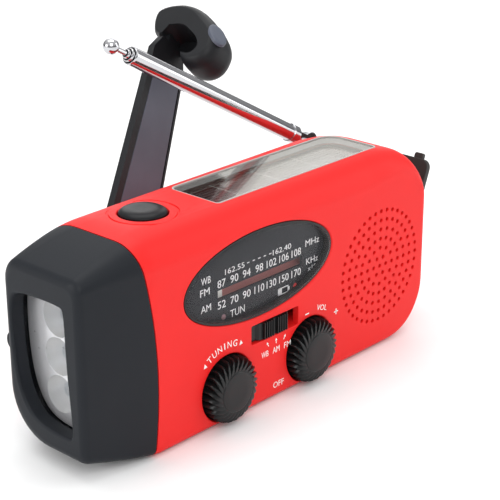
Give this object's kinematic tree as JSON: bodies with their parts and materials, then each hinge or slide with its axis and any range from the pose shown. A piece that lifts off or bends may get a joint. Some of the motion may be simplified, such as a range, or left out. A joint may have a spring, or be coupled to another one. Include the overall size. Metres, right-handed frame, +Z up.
{
  "type": "hand-crank emergency radio",
  "caption": "Hand-crank emergency radio with an end torch, solar window, telescopic antenna, hooked folding crank, tuning dial, knobs, speaker and rubber port cover.",
  "frame": {"origin": "middle of the flat base", "axes": "+Z up, -Y out of the dial side, -X towards the torch end"},
  "size_m": [0.1381, 0.0809, 0.0958],
  "materials": {
    "red_shell": "satin soft-touch red",
    "black_soft": "satin charcoal",
    "black_gloss": "moulded black, half gloss",
    "slate": "satin slate grey",
    "clear": "clear acrylic",
    "silvered": "vacuum-silvered",
    "chrome": "bright chrome plate",
    "steel": "bare sheet steel",
    "led_clear": "clear epoxy",
    "led_red": "red epoxy",
    "board": "green solder mask",
    "white_nylon": "natural nylon",
    "print_black": "screen-printed black",
    "brown_strip": "reddish brown film",
    "paper_cone": "pressed paper",
    "ferrite": "dark ferrite",
    "copper": "enamelled copper wire",
    "cell": "heat-shrink sleeve",
    "solar_cells": "dark maroon cells",
    "rubber_black": "moulded rubber"
  },
  "bodies": {
    "case": {"front_shell": "red_shell", "back_shell": "red_shell", "torch_head": "black_soft", "case_screw_1": "steel", "case_screw_2": "steel", "case_screw_3": "steel", "case_screw_4": "steel", "speaker_frame": "steel", "speaker_magnet": "steel", "usb_a_socket": "steel", "micro_usb_socket": "steel", "band_switch": "steel", "antenna_screw": "steel", "torch_lens": "clear", "dial_window": "clear", "solar_window": "clear", "torch_reflector": "silvered", "torch_led_1": "led_clear", "torch_led_2": "led_clear", "torch_led_3": "led_clear", "tuning_led": "led_red", "charge_led": "led_red", "torch_board": "board", "main_board": "board", "torch_switch": "black_gloss", "volume_control": "black_gloss", "dial_plate": "print_black", "tuning_capacitor": "white_nylon", "gear_frame": "white_nylon", "gear_cover": "white_nylon", "pointer_guide": "brown_strip", "speaker_cone": "paper_cone", "solar_panel": "solar_cells", "battery": "cell", "ferrite_rod": "ferrite", "aerial_coil": "copper", "stator_coil": "copper"},
    "crank": {"crank_hub": "black_soft", "crank_gear": "white_nylon", "arm_pin": "steel"},
    "idler": {"idler_gear": "white_nylon"},
    "rotor": {"rotor": "ferrite"},
    "arm": {"crank_arm": "slate", "arm_inlay": "slate"},
    "grip": {"crank_grip": "black_soft", "grip_pad": "slate", "grip_pin": "steel"},
    "antenna": {"antenna_root": "chrome", "antenna_tube_1": "chrome"},
    "section_2": {"antenna_tube_2": "chrome"},
    "section_3": {"antenna_tube_3": "chrome"},
    "tip": {"antenna_tip": "chrome"},
    "tuning": {"tuning_knob": "black_gloss"},
    "pointer": {"dial_pointer": "white_nylon"},
    "volume": {"volume_knob": "black_gloss"},
    "slider": {"band_slider": "black_gloss"},
    "button": {"torch_button": "black_gloss"},
    "cover": {"port_cover": "rubber_black"}
  },
  "joints": [
    {"name": "crank_turn", "type": "hinge", "parent": "case", "child": "crank", "pos_m": [-0.0197, 0.019, 0.0277], "axis": [0, 1, 0], "continuous": true},
    {"name": "idler_turn", "type": "hinge", "parent": "case", "child": "idler", "pos_m": [-0.0037, 0.005, 0.0277], "axis": [0, 1, 0], "continuous": true},
    {"name": "rotor_turn", "type": "hinge", "parent": "case", "child": "rotor", "pos_m": [0.0088, 0.009, 0.0377], "axis": [0, 1, 0], "continuous": true},
    {"name": "arm_fold", "type": "hinge", "parent": "crank", "child": "arm", "pos_m": [-0.01577, 0.02425, 0.03163], "axis": [-0.7071, 0, 0.7071], "range_deg": [0, 150]},
    {"name": "grip_fold", "type": "hinge", "parent": "arm", "child": "grip", "pos_m": [0.03472, 0.05309, 0.08212], "axis": [-0.7071, 0, 0.7071], "range_deg": [-20, 190]},
    {"name": "antenna_turn", "type": "hinge", "parent": "case", "child": "antenna", "pos_m": [0.0555, 0.0185, 0.0511], "axis": [0, 1, 0], "range_deg": [-29.1, 150]},
    {"name": "section_2_slide", "type": "slide", "parent": "antenna", "child": "section_2", "axis": [-0.8738, 0, 0.4863], "range_m": [0, 0.055]},
    {"name": "section_3_slide", "type": "slide", "parent": "section_2", "child": "section_3", "axis": [-0.8738, 0, 0.4863], "range_m": [0, 0.05]},
    {"name": "tip_slide", "type": "slide", "parent": "section_3", "child": "tip", "axis": [-0.8738, 0, 0.4863], "range_m": [0, 0.045]},
    {"name": "tuning_turn", "type": "hinge", "parent": "case", "child": "tuning", "pos_m": [-0.0188, -0.0152, 0.0098], "axis": [0, 1, 0], "range_deg": [0, 300]},
    {"name": "pointer_slide", "type": "slide", "parent": "case", "child": "pointer", "axis": [1, 0, 0], "range_m": [0, 0.03]},
    {"name": "volume_turn", "type": "hinge", "parent": "case", "child": "volume", "pos_m": [0.0134, -0.0152, 0.0098], "axis": [0, 1, 0], "range_deg": [0, 280]},
    {"name": "band_slide", "type": "slide", "parent": "case", "child": "slider", "axis": [1, 0, 0], "range_m": [0, 0.004]},
    {"name": "torch_press", "type": "slide", "parent": "case", "child": "button", "axis": [0, 0, -1], "range_m": [0, 0.0012], "stiffness_N_per_m": 300, "springref_m": -0.001},
    {"name": "cover_open", "type": "hinge", "parent": "case", "child": "cover", "pos_m": [0.064, 0, 0.0286], "axis": [0, 1, 0], "range_deg": [-28, 60]}
  ],
  "couplings": [
    {"joint": "idler_turn", "follows": "crank_turn", "ratio": -3},
    {"joint": "rotor_turn", "follows": "crank_turn", "ratio": 9},
    {"joint": "pointer_slide", "follows": "tuning_turn", "m_per_rad": 0.0057}
  ]
}
